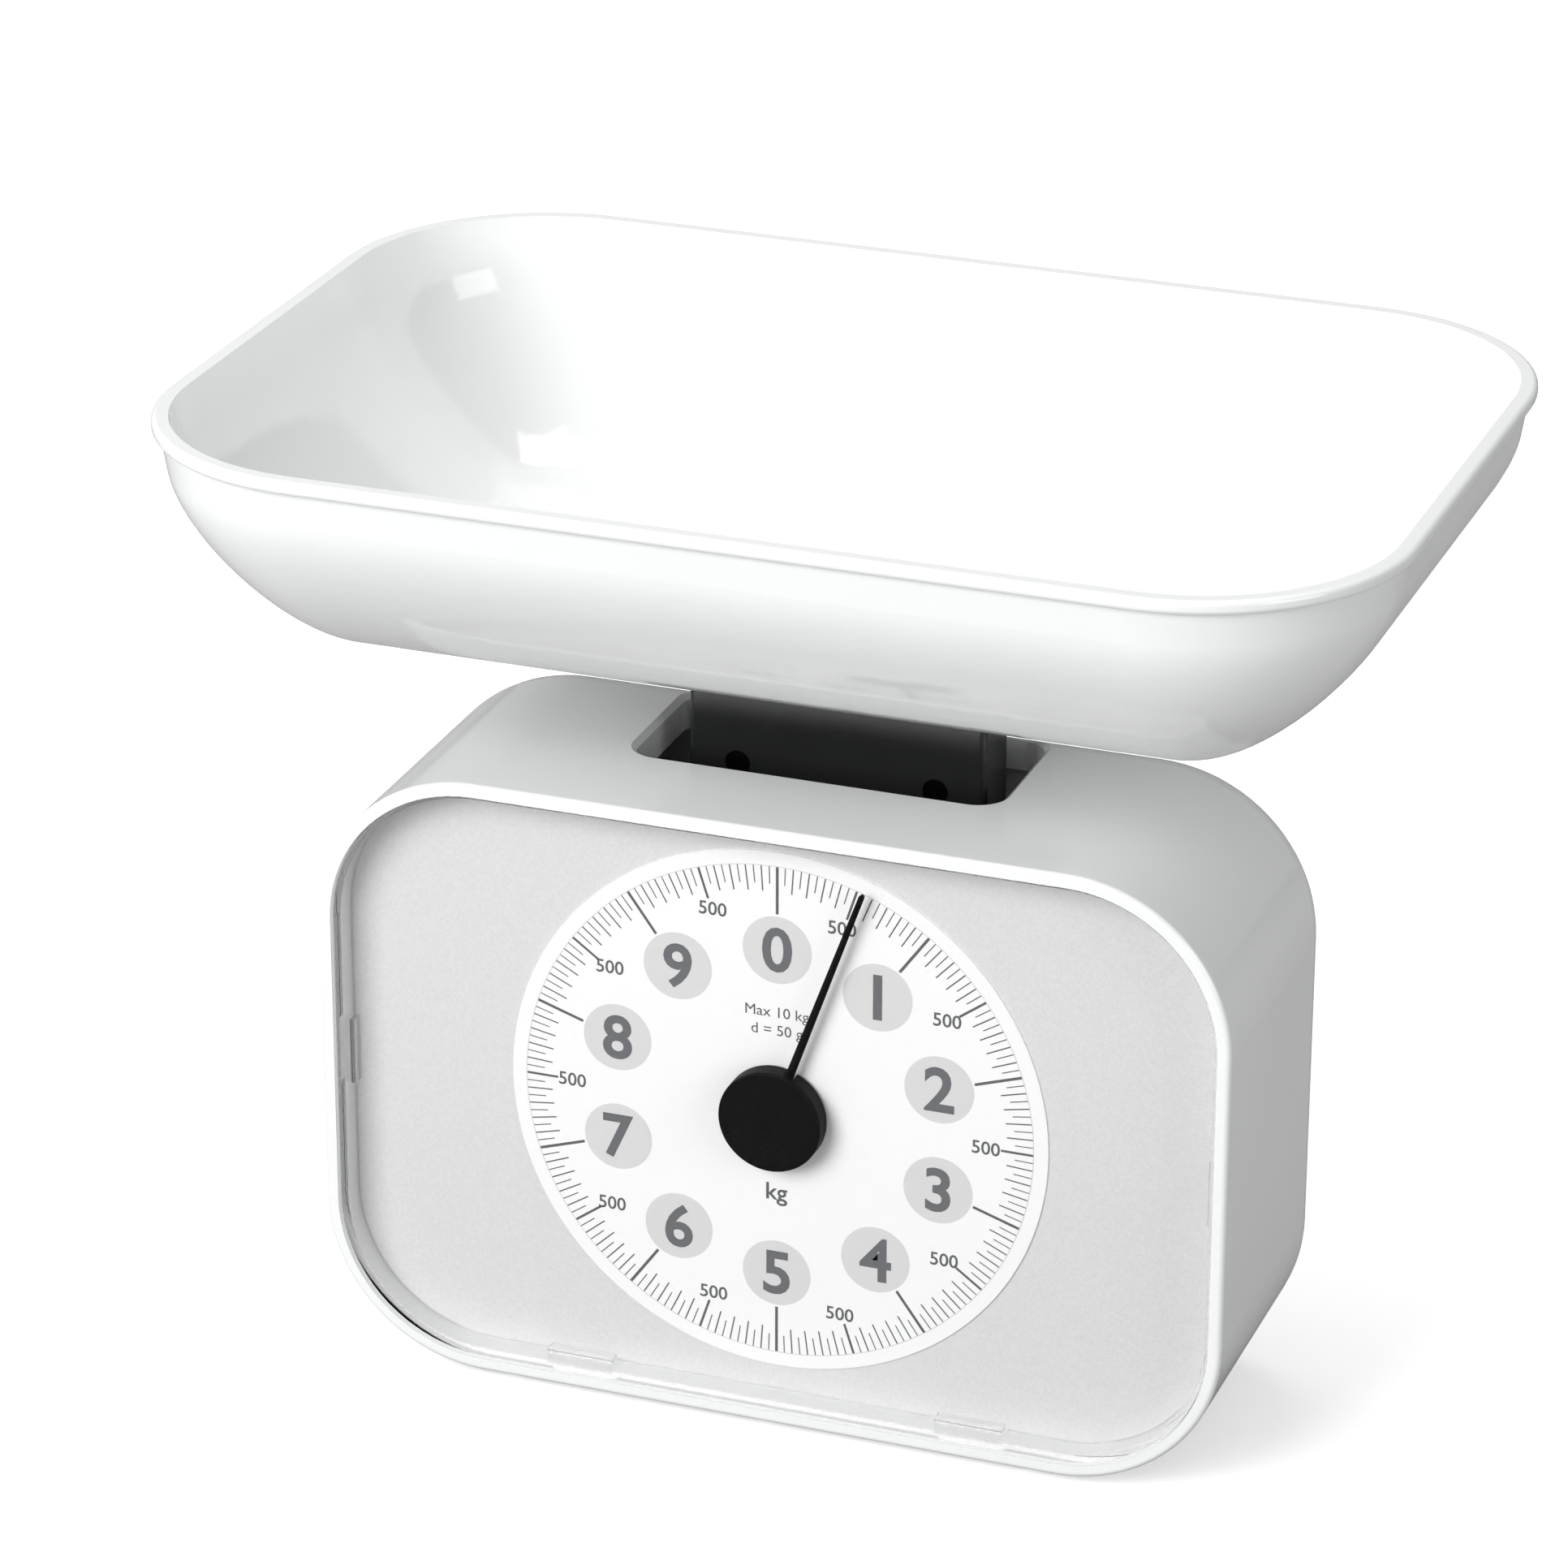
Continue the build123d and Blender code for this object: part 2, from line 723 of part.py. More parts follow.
with BuildPart() as zero_knob:
    with BuildSketch(depth_plane(knob_y)):
        with Locations(adjuster_point):
            Circle(knob_diameter / 2)
        with Locations(adjuster_point):
            with PolarLocations(knob_diameter / 2, knob_flutes):
                Circle(flute_diameter / 2, mode=Mode.SUBTRACT)
    extrude(amount=-knob_length)
    chamfer(zero_knob.faces().sort_by(Axis.Y)[-1].edges(), knob_chamfer)
    with BuildSketch(depth_plane(knob_y)):
        with Locations(adjuster_point):
            Circle(adjuster_shaft_diameter / 2 + running_clearance / 2)
    extrude(amount=-knob_bore_depth, mode=Mode.SUBTRACT)
save(zero_knob, "zero_knob")

# ---- Carriage and post -----------------------------------------------------------------------------

carriage_top_z = post_bottom_z + carriage_tongue
upper_pin = (carriage_pin_x, upper_pivot_z + lever_rise)
lower_pin = (carriage_pin_x, lower_pivot_z + lever_rise)
window_mid_z = (window_bottom_z + window_top_z) / 2
window_height = window_top_z - window_bottom_z
bracket_bottom_z = dial_centre_z + bracket_rise
bracket_screw = (carriage_pin_x, bracket_bottom_z + bracket_height / 2)
post_screw_points = [(i * post_screw_pitch / 2, post_bottom_z + post_screw_rise) for i in (-1, 1)]
post_screw_head = post_wall / 2
pocket_bottom_z = spring_foot_z - spring_pin_diameter

with BuildPart() as carriage:
    with BuildSketch(depth_plane(carriage_front_y)):
        with Locations((0, (carriage_bottom_z + carriage_top_z) / 2)):
            RectangleRounded(carriage_width, carriage_top_z - carriage_bottom_z, post_corner)
        with Locations((0, window_mid_z)):
            RectangleRounded(window_width, window_height, window_corner, mode=Mode.SUBTRACT)
    extrude(amount=-carriage_depth)
    with BuildSketch(Plane.XY.offset(post_bottom_z)):
        with Locations((0, post_centre_y)):
            RectangleRounded(post_width, post_depth, post_corner)
    extrude(amount=-carriage_collar)
    with BuildSketch(Plane.XY.offset(pocket_bottom_z)):
        with Locations((0, post_centre_y)):
            Rectangle(spring_pocket_width, spring_pocket_depth)
    extrude(amount=window_bottom_z + cut_margin - pocket_bottom_z, mode=Mode.SUBTRACT)
    with BuildSketch(depth_plane(carriage_front_y)):
        with Locations(upper_pin, lower_pin):
            Circle(pin_hole)
        with Locations((0, spring_foot_z)):
            Circle(spring_pin_diameter / 2 + running_clearance / 2)
    extrude(amount=-carriage_depth, mode=Mode.SUBTRACT)
    with BuildSketch(depth_plane(carriage_front_y)):
        with Locations(bracket_screw, *post_screw_points):
            Circle(screw_hole)
    extrude(amount=-screw_length, mode=Mode.SUBTRACT)
save(carriage, "carriage")

post_front_y = post_centre_y - post_depth / 2
seat_bottom_z = pan_seat_z - seat_thickness

with BuildPart() as post:
    with BuildSketch(Plane.XY.offset(post_bottom_z)):
        with Locations((0, post_centre_y)):
            RectangleRounded(post_width, post_depth, post_corner)
            Rectangle(post_width - 2 * post_wall, post_depth - 2 * post_wall, mode=Mode.SUBTRACT)
    extrude(amount=seat_bottom_z - post_bottom_z)
    with BuildSketch(depth_plane(post_front_y)):
        with Locations(*post_screw_points):
            Circle(screw_head_diameter / 2 + running_clearance)
    extrude(amount=-post_screw_head, mode=Mode.SUBTRACT)
    with BuildSketch(depth_plane(post_front_y)):
        with Locations(*post_screw_points):
            Circle(screw_hole)
    extrude(amount=-(post_wall + cut_margin), mode=Mode.SUBTRACT)
save(post, "post")

with BuildPart() as post_screws:
    add_screws(post_screw_points, post_front_y + post_screw_head, 1, post_screw_length, post_screw_head)
save(post_screws, "post_screws")

with BuildPart() as pan_seat:
    with BuildSketch(Plane.XY.offset(seat_bottom_z)):
        with Locations((0, post_centre_y)):
            RectangleRounded(seat_width, seat_depth, seat_corner)
    extrude(amount=seat_thickness)
    chamfer(pan_seat.faces().sort_by(Axis.Z)[-1].edges(), seat_chamfer)
    with BuildSketch(Plane.XY.offset(seat_bottom_z)):
        with Locations((0, post_centre_y)):
            Rectangle(carriage_width, carriage_depth)
            Rectangle(carriage_width - 2 * post_wall, carriage_depth - 2 * post_wall, mode=Mode.SUBTRACT)
    extrude(amount=-seat_plug_length)
save(pan_seat, "pan_seat")

# ---- Rack ------------------------------------------------------------------------------------------

rack_bottom_z = dial_centre_z - travel_up - rack_end_margin
rack_top_z = dial_centre_z + travel_down + rack_end_margin
rack_root_x = pitch_radius + tooth_dedendum
rack_back_x = rack_root_x + rack_back_width
first_tooth = int((rack_bottom_z + tooth_foot - dial_centre_z) / tooth_pitch)
last_tooth = int((rack_top_z - tooth_foot - dial_centre_z) / tooth_pitch)
rivet_y = pinion_y + pinion_width / 2
rivet_points = [(rivet_y, bracket_screw[1] + k * rivet_pitch / 2) for k in (-1, 1)]

# One tooth of the rack, about its middle on the pitch line, pointing to the pinion.
with BuildSketch() as rack_tooth:
    with BuildLine():
        Polyline(
            (tooth_dedendum, tooth_foot),
            (-tooth_addendum, tooth_tip),
            (-tooth_addendum, -tooth_tip),
            (tooth_dedendum, -tooth_foot),
            close=True,
        )
    make_face()

with BuildPart() as rack:
    with BuildSketch(depth_plane(pinion_y)):
        with Locations((rack_root_x + rack_back_width / 2, (rack_bottom_z + rack_top_z) / 2)):
            Rectangle(rack_back_width, rack_top_z - rack_bottom_z)
        for tooth in range(first_tooth, last_tooth + 1):
            with Locations((pitch_radius, dial_centre_z + tooth * tooth_pitch)):
                add(rack_tooth.sketch)
    extrude(amount=-pinion_width)
    with BuildSketch(Plane.YZ.offset(rack_back_x)):
        with Locations(*rivet_points):
            Circle(rivet_radius + running_clearance / 2)
    extrude(amount=-rack_back_width / 2, mode=Mode.SUBTRACT)
save(rack, "rack")

bracket_foot_y = carriage_front_y - plate_thickness
bracket_side_x = rack_back_x + plate_thickness
bracket_end_x = carriage_pin_x + pin_head_diameter
with BuildPart() as rack_bracket:
    with BuildSketch(Plane.XY.offset(bracket_bottom_z)):
        with BuildLine():
            Polyline(
                (rack_back_x, pinion_y),
                (bracket_side_x, pinion_y),
                (bracket_side_x, bracket_foot_y),
                (bracket_end_x, bracket_foot_y),
                (bracket_end_x, carriage_front_y),
                (rack_back_x, carriage_front_y),
                close=True,
            )
        make_face()
    extrude(amount=bracket_height)
    with BuildSketch(Plane.YZ.offset(bracket_side_x)):
        with Locations(*rivet_points):
            Circle(rivet_radius + running_clearance / 2)
    extrude(amount=-plate_thickness, mode=Mode.SUBTRACT)
    with BuildSketch(depth_plane(bracket_foot_y)):
        with Locations(bracket_screw):
            Circle(screw_hole)
    extrude(amount=-plate_thickness, mode=Mode.SUBTRACT)
save(rack_bracket, "rack_bracket")

with BuildPart() as rack_rivets:
    with BuildSketch(Plane.YZ.offset(bracket_side_x)):
        with Locations(*rivet_points):
            Circle(rivet_radius)
    extrude(amount=-(plate_thickness + rack_back_width / 2))
    with BuildSketch(Plane.YZ.offset(bracket_side_x)):
        with Locations(*rivet_points):
            Circle(rivet_head_radius)
    extrude(amount=rivet_head_height, taper=rivet_head_taper)
save(rack_rivets, "rack_rivets")

with BuildPart() as bracket_screws:
    add_screws([bracket_screw], bracket_foot_y, 1, screw_length)
save(bracket_screws, "bracket_screw")

# ---- Levers, pins and clips ------------------------------------------------------------------------

arm_fronts = [lever_front_y, post_centre_y + lever_inner_gap / 2]
pin_slot_height = pin_diameter + 2 * lever_slot_play
pin_slot_centre = lever_length + lever_slot_travel / 4
lever_web_x = lever_web_start + lever_web_length / 2


def lever_plane(pivot_z, y):
    """The plane of a lever at depth y: its X runs from the pivot along the lever."""
    tilt = radians(lever_angle)
    return Plane(origin=(lever_pivot_x, y, pivot_z), x_dir=(cos(tilt), 0, sin(tilt)), z_dir=(0, -1, 0))


for label, pivot_z in (("upper_lever", upper_pivot_z), ("lower_lever", lower_pivot_z)):
    with BuildPart() as lever:
        for arm_y in arm_fronts:
            with BuildSketch(lever_plane(pivot_z, arm_y)):
                with Locations((lever_length / 2, 0)):
                    SlotCenterToCenter(lever_length, lever_arm_height)
                Circle(pin_diameter / 2 + running_clearance, mode=Mode.SUBTRACT)
                with Locations((pin_slot_centre, 0)):
                    SlotOverall(pin_slot_height + lever_slot_travel, pin_slot_height, mode=Mode.SUBTRACT)
            extrude(amount=-lever_thickness)
        with BuildSketch(lever_plane(pivot_z, lever_front_y)):
            with Locations((lever_web_x, (lever_arm_height - lever_thickness) / 2)):
                Rectangle(lever_web_length, lever_thickness)
        extrude(amount=-lever_outer_gap)
    save(lever, label)

with BuildPart() as pivot_pins:
    with BuildSketch(depth_plane(front_plate_y)):
        with Locations(*pivot_points):
            Circle(pin_head_diameter / 2)
    extrude(amount=pin_head_thickness)
    with BuildSketch(depth_plane(front_plate_y)):
        with Locations(*pivot_points):
            Circle(pin_diameter / 2)
    extrude(amount=-(rear_plate_back_y + 2 * clip_thickness + rest_gap - front_plate_y))
save(pivot_pins, "pivot_pins")

with BuildPart() as pivot_spacers:
    with BuildSketch(depth_plane(front_plate_back_y)):
        with Locations(*pivot_points):
            Circle(bush_diameter / 2)
            Circle(pin_diameter / 2 + running_clearance, mode=Mode.SUBTRACT)
    extrude(amount=-(lever_front_y - front_plate_back_y - seat_clearance))
    with BuildSketch(depth_plane(lever_rear_y + seat_clearance)):
        with Locations(*pivot_points):
            Circle(bush_diameter / 2)
            Circle(pin_diameter / 2 + running_clearance, mode=Mode.SUBTRACT)
    extrude(amount=-(rear_plate_y - lever_rear_y - seat_clearance))
save(pivot_spacers, "pivot_spacers")


def add_clips(points, y):
    """Open retaining clips on pins at depth y."""
    with BuildSketch(depth_plane(y)) as rings:
        with Locations(*points):
            Circle(clip_diameter / 2)
            Circle(pin_hole, mode=Mode.SUBTRACT)
        with Locations(*[(x, z - clip_diameter / 2) for x, z in points]):
            Rectangle(pin_diameter / 2, clip_diameter / 2, mode=Mode.SUBTRACT)
    extrude(rings.sketch, amount=-clip_thickness)


with BuildPart() as pivot_clips:
    add_clips(pivot_points, rear_plate_back_y + seat_clearance)
save(pivot_clips, "pivot_clips")

carriage_pin_reach = seat_clearance + 2 * clip_thickness
with BuildPart() as carriage_pins:
    with BuildSketch(depth_plane(lever_front_y - carriage_pin_reach)):
        with Locations(upper_pin, lower_pin):
            Circle(pin_diameter / 2)
    extrude(amount=-(lever_outer_gap + 2 * carriage_pin_reach))
save(carriage_pins, "carriage_pins")

with BuildPart() as carriage_clips:
    add_clips([upper_pin, lower_pin], lever_front_y - seat_clearance - clip_thickness)
    add_clips([upper_pin, lower_pin], lever_rear_y + seat_clearance)
save(carriage_clips, "carriage_clips")

# ---- Spring ----------------------------------------------------------------------------------------

with BuildPart() as spring_pin:
    with BuildSketch(depth_plane(carriage_front_y)):
        with Locations((0, spring_foot_z)):
            Circle(spring_pin_diameter / 2)
    extrude(amount=-carriage_depth)
save(spring_pin, "spring_pin")

spring_radius = spring_diameter / 2
hook_reach = spring_radius - spring_wire / 2 - spring_pin_diameter / 2 - running_clearance
upper_hook_z = spring_anchor_z - hook_reach
lower_hook_z = spring_foot_z + hook_reach
coil_bottom_z = window_bottom_z + spring_wire / 2 + rest_gap
coil_top_z = upper_hook_z - (coil_bottom_z - lower_hook_z)
coil_length = coil_top_z - coil_bottom_z
coil_centre = (0, post_centre_y, coil_bottom_z)

with BuildPart() as spring_coil:
    with BuildLine() as coil_line:
        Helix(coil_length / spring_turns, coil_length, spring_radius, center=coil_centre)
    with BuildSketch(Plane(origin=coil_line.line @ 0, z_dir=coil_line.line % 0)):
        Circle(spring_wire / 2)
    sweep(is_frenet=True)


def spring_hook(side, coil_z, hook_z):
    """The bent end of the spring above (1) or below (-1) its coil: a leg, a half loop and a short tail."""
    leg_start = (spring_radius, post_centre_y, coil_z - side * spring_wire / 3)
    with BuildPart() as hook:
        with BuildLine() as hook_line:
            Line(leg_start, (spring_radius, post_centre_y, hook_z))
            ThreePointArc(
                (spring_radius, post_centre_y, hook_z),
                (0, post_centre_y, hook_z + side * spring_radius),
                (-spring_radius, post_centre_y, hook_z),
            )
            Line(
                (-spring_radius, post_centre_y, hook_z),
                (-spring_radius, post_centre_y, hook_z - side * hook_tail),
            )
        with BuildSketch(Plane(origin=leg_start, z_dir=(0, 0, side))) as wire_end:
            Circle(hook_wire_share * spring_wire / 2)
        sweep(wire_end.sketch, path=hook_line.line)
    return hook.part


with BuildPart() as spring:
    add(spring_coil.part)
    add(spring_hook(1, coil_top_z, upper_hook_z))
    add(spring_hook(-1, coil_bottom_z, lower_hook_z))
save(spring, "spring")

# ---- Pan -------------------------------------------------------------------------------------------

pan_outer_inset = pan_rim_width - pan_wall
pan_curve_z = pan_seat_z + pan_curve_height
pan_slope = tan(radians(pan_draft))
pan_edge_y = post_centre_y - pan_width / 2
pan_back_y = post_centre_y + pan_width / 2


def wall_inset(z):
    """How far the drafted outer wall stands in from the rim's outline at height z."""
    return pan_outer_inset + (pan_rim_z - z) * pan_slope


pan_foot_inset = wall_inset(pan_curve_z) + pan_curve_inset


def pan_curve(shell):
    """The bowl's rounded lower wall, shell inside its outer face, from the drafted wall to the floor."""
    top = (wall_inset(pan_curve_z) + shell, pan_curve_z)
    foot = (pan_foot_inset, pan_seat_z + shell)
    drop = pan_curve_pull * (top[1] - foot[1])
    return [
        top,
        (top[0] + drop * pan_slope, top[1] - drop),
        (foot[0] - pan_curve_pull * (foot[0] - top[0]), foot[1]),
        foot,
    ]


# The pan's wall is one profile carried round half of the rim's outline and mirrored. The profile's
# first coordinate runs inwards from the rim and its second is the height.
with BuildPart() as pan:
    with BuildLine() as half_rim:
        FilletPolyline(
            (0, pan_edge_y, pan_rim_z),
            (pan_length / 2, pan_edge_y, pan_rim_z),
            (pan_length / 2, pan_back_y, pan_rim_z),
            (0, pan_back_y, pan_rim_z),
            radius=pan_corner,
        )
    with BuildSketch(Plane(origin=(0, pan_edge_y, 0), x_dir=(0, 1, 0), z_dir=(1, 0, 0))) as pan_profile:
        with BuildLine():
            lip = Polyline(
                (pan_rim_width, pan_rim_z),
                (0, pan_rim_z),
                (0, pan_rim_z - pan_rim_height),
                (wall_inset(pan_rim_z - pan_rim_height), pan_rim_z - pan_rim_height),
                pan_curve(0)[0],
            )
            Bezier(*pan_curve(0))
            Polyline(pan_curve(0)[-1], pan_curve(pan_wall)[-1])
            Bezier(*reversed(pan_curve(pan_wall)))
            Line(pan_curve(pan_wall)[0], (pan_rim_width, pan_rim_z))
        make_face()
        fillet(pan_profile.vertices().group_by(Axis.X)[0], pan_rim_edge)
    sweep(path=half_rim.line)
    mirror(about=Plane.YZ)
    with BuildSketch(Plane.XY.offset(pan_seat_z)):
        with Locations((0, post_centre_y)):
            RectangleRounded(
                pan_length - 2 * pan_foot_inset,
                pan_width - 2 * pan_foot_inset,
                pan_corner - pan_foot_inset,
            )
    extrude(amount=pan_wall)
    with BuildSketch(Plane.XY.offset(pan_seat_z)):
        with Locations((0, post_centre_y)):
            RectangleRounded(
                seat_width + 2 * (pan_socket_play + pan_socket_wall),
                seat_depth + 2 * (pan_socket_play + pan_socket_wall),
                seat_corner + pan_socket_play + pan_socket_wall,
            )
            RectangleRounded(
                seat_width + 2 * pan_socket_play,
                seat_depth + 2 * pan_socket_play,
                seat_corner + pan_socket_play,
                mode=Mode.SUBTRACT,
            )
    extrude(amount=-pan_socket_depth)
save(pan, "pan")
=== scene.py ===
from math import cos, pi, radians, sin

import bmesh
import bpy
from mathutils import Matrix, Vector


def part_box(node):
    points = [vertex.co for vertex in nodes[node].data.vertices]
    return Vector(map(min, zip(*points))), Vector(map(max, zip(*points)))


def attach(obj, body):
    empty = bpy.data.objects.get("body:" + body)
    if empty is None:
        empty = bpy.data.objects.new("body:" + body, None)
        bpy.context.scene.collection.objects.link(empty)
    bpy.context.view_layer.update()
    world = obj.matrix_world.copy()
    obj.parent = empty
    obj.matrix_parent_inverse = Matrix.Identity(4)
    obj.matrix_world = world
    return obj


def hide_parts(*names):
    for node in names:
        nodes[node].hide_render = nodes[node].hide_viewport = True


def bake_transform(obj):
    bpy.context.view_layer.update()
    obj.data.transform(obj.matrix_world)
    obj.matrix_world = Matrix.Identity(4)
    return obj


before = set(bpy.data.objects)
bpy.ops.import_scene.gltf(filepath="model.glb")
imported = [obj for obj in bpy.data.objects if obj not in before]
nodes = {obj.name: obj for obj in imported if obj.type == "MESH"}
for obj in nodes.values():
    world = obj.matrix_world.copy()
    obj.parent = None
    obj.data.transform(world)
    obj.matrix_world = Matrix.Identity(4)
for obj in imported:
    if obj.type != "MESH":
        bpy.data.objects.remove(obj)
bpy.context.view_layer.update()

# ---------------------------------------------------------------------------------------------------
# Housing and pan: white ABS, each injection moulded in one piece in polished tools.
# The eye sees a bright, even gloss, with a very slight waviness and haze in the reflections.
# ---------------------------------------------------------------------------------------------------


def colour(hex_value):
    """An sRGB hex colour such as "#F4F4F2" as linear RGBA."""
    channels = [int(hex_value[i:i + 2], 16) / 255 for i in (1, 3, 5)]
    linear = [c / 12.92 if c <= 0.04045 else ((c + 0.055) / 1.055) ** 2.4 for c in channels]
    return (*linear, 1.0)


def add_node(tree, kind, links=None, values=None, **settings):
    """A shader node, with links as {input: (node, output)}, values as {input: value} and its settings."""
    node = tree.nodes.new(kind)
    for name, value in settings.items():
        if hasattr(node, name):
            setattr(node, name, value)
        else:
            node.inputs[name.replace("_", " ")].default_value = value
    for name, value in (values or {}).items():
        node.inputs[name].default_value = value
    for name, (source, output) in (links or {}).items():
        tree.links.new(source.outputs[output], node.inputs[name])
    return node


def new_material(name):
    """An empty material: its node tree, a Principled shader and the object's own coordinates in metres."""
    material = bpy.data.materials.new(name)
    material.use_nodes = True
    tree = material.node_tree
    tree.nodes.clear()
    shader = tree.nodes.new("ShaderNodeBsdfPrincipled")
    output = tree.nodes.new("ShaderNodeOutputMaterial")
    tree.links.new(shader.outputs["BSDF"], output.inputs["Surface"])
    place = tree.nodes.new("ShaderNodeTexCoord")
    return material, tree, shader, place


def set_shader(shader, **settings):
    """Plain numbers and colours on the shader's own sockets."""
    for name, value in settings.items():
        shader.inputs[name.replace("_", " ")].default_value = value


def finish_node(node, material):
    """The CAD piece of this name takes the material."""
    mesh = nodes[node].data
    mesh.materials.clear()
    mesh.materials.append(material)


def moulded_plastic(name, tint, shade, roughness, spread, grain_mm, grain_depth, ior=1.54, specular=0.5):
    """Moulded plastic: a colour that drifts slightly, roughness that varies, and a fine surface grain."""
    cloud_scale = 22.0  # patches about 45 mm across
    scuff_scale = 160.0  # patches about 6 mm across
    material, tree, shader, place = new_material(name)
    cloud = add_node(
        tree, "ShaderNodeTexNoise", {"Vector": (place, "Object")}, Scale=cloud_scale, Detail=3.0,
    )
    tone = add_node(
        tree, "ShaderNodeMix", {"Factor": (cloud, "Fac")}, {6: colour(tint), 7: colour(shade)},
        data_type="RGBA",
    )
    tree.links.new(tone.outputs[2], shader.inputs["Base Color"])
    scuff = add_node(
        tree, "ShaderNodeTexNoise", {"Vector": (place, "Object")}, Scale=scuff_scale, Detail=6.0,
    )
    gloss = add_node(
        tree, "ShaderNodeMapRange", {"Value": (scuff, "Fac")},
        To_Min=roughness - spread, To_Max=roughness + spread,
    )
    tree.links.new(gloss.outputs["Result"], shader.inputs["Roughness"])
    grain = add_node(
        tree, "ShaderNodeTexNoise", {"Vector": (place, "Object")}, Scale=1000.0 / grain_mm, Detail=2.0,
    )
    bump = add_node(tree, "ShaderNodeBump", {"Height": (grain, "Fac")}, Strength=0.25, Distance=grain_depth)
    tree.links.new(bump.outputs["Normal"], shader.inputs["Normal"])
    set_shader(shader, IOR=ior, Specular_IOR_Level=specular)
    return material


white_abs = moulded_plastic(
    "white ABS moulded gloss", "#EEF0EF", "#E9EBEA", 0.09, 0.03, grain_mm=9.0, grain_depth=0.00002,
)
for node in ("housing", "pan"):
    finish_node(node, white_abs)

# ---------------------------------------------------------------------------------------------------
# Post, seat cap, pointer hub and zero knob: black ABS, moulded in spark-eroded tools.
# The post, cap and knob have a soft satin sheen with a fine grain. The hub is matt and deeper black.
# ---------------------------------------------------------------------------------------------------

black_abs = moulded_plastic(
    "black ABS moulded satin", "#202121", "#272828", 0.25, 0.05, grain_mm=0.5, grain_depth=0.00002,
)
for node in ("post", "pan_seat", "zero_knob"):
    finish_node(node, black_abs)

hub_abs = moulded_plastic(
    "black ABS pointer hub", "#030303", "#060606", 0.55, 0.05, grain_mm=0.35, grain_depth=0.00001,
    specular=0.1,
)
finish_node("pointer_hub", hub_abs)

# ---------------------------------------------------------------------------------------------------
# Front window: one moulding of clear polystyrene, with a skirt that stands on the dial plate.
# Its flat panes are almost invisible, with a faint sheen, and light and shadows pass through them. Its
# rounded edges and skirt refract as solid plastic, and catch the light as thin bright and dark lines.
# ---------------------------------------------------------------------------------------------------

styrene_ior = 1.45
sheen_share = 0.12
pane_squareness = 0.99
clear_styrene, tree, shader, place = new_material("clear polystyrene moulded")
set_shader(shader, Base_Color=colour("#FCFCFC"), Roughness=0.03, IOR=styrene_ior, Transmission_Weight=1.0)
sink = add_node(tree, "ShaderNodeTexNoise", {"Vector": (place, "Object")}, Scale=35.0, Detail=1.0)
waviness = add_node(tree, "ShaderNodeBump", {"Height": (sink, "Fac")}, Strength=0.1, Distance=0.00005)
tree.links.new(waviness.outputs["Normal"], shader.inputs["Normal"])
clear = add_node(tree, "ShaderNodeBsdfTransparent", Color=colour("#FBFBFB"))
sheen = add_node(tree, "ShaderNodeBsdfGlossy", {"Normal": (waviness, "Normal")}, Roughness=0.02)
fresnel = add_node(tree, "ShaderNodeFresnel", IOR=styrene_ior)
share = add_node(tree, "ShaderNodeMath", {0: (fresnel, 0)}, {1: sheen_share}, operation="MULTIPLY")
pane = add_node(tree, "ShaderNodeMixShader", {0: (share, 0), 1: (clear, 0), 2: (sheen, 0)})
facing = tree.nodes.new("ShaderNodeNewGeometry")
parts = add_node(tree, "ShaderNodeSeparateXYZ", {0: (facing, "True Normal")})
depth = add_node(tree, "ShaderNodeMath", {0: (parts, "Y")}, operation="ABSOLUTE")
flat = add_node(tree, "ShaderNodeMath", {0: (depth, 0)}, {1: pane_squareness}, operation="GREATER_THAN")
edges = add_node(tree, "ShaderNodeMixShader", {0: (flat, 0), 1: (shader, 0), 2: (pane, 0)})
rays = tree.nodes.new("ShaderNodeLightPath")
passing = add_node(
    tree, "ShaderNodeMath", {0: (rays, "Is Shadow Ray"), 1: (rays, "Is Diffuse Ray")}, operation="MAXIMUM",
)
through = add_node(tree, "ShaderNodeMixShader", {0: (passing, 0), 1: (edges, 0), 2: (clear, 0)})
output = next(n for n in tree.nodes if n.type == "OUTPUT_MATERIAL")
tree.links.new(through.outputs[0], output.inputs["Surface"])
finish_node("lens", clear_styrene)

# ---------------------------------------------------------------------------------------------------
# Dial plate: thin sheet sprayed in silver-grey lacquer with fine aluminium flake.
# From a distance it is an even pale grey, and close to it sparkles in points a fraction of a mm wide.
# ---------------------------------------------------------------------------------------------------

flake_mm = 0.5
silver_lacquer, tree, shader, place = new_material("silver lacquered sheet")
flake = add_node(tree, "ShaderNodeTexVoronoi", {"Vector": (place, "Object")}, Scale=1000.0 / flake_mm)
flake_tone = add_node(
    tree, "ShaderNodeMix", {"Factor": (flake, "Color")}, {6: colour("#DEDEDE"), 7: colour("#E8E8E8")},
    data_type="RGBA",
)
tree.links.new(flake_tone.outputs[2], shader.inputs["Base Color"])
flake_tilt = add_node(
    tree, "ShaderNodeBump", {"Height": (flake, "Distance")}, Strength=0.15, Distance=0.0001,
)
tree.links.new(flake_tilt.outputs["Normal"], shader.inputs["Normal"])
set_shader(shader, Metallic=0.1, Roughness=0.5)
finish_node("dial_plate", silver_lacquer)

# ---------------------------------------------------------------------------------------------------
# Dial card: a white disc of print film, laminated on the plate.
# Its satin surface is an even white, with only a soft sheen under the window.
# ---------------------------------------------------------------------------------------------------

print_film = moulded_plastic(
    "white print film", "#FEFEFE", "#FCFCFC", 0.45, 0.04, grain_mm=0.8, grain_depth=0.00001,
)
finish_node("dial_card", print_film)

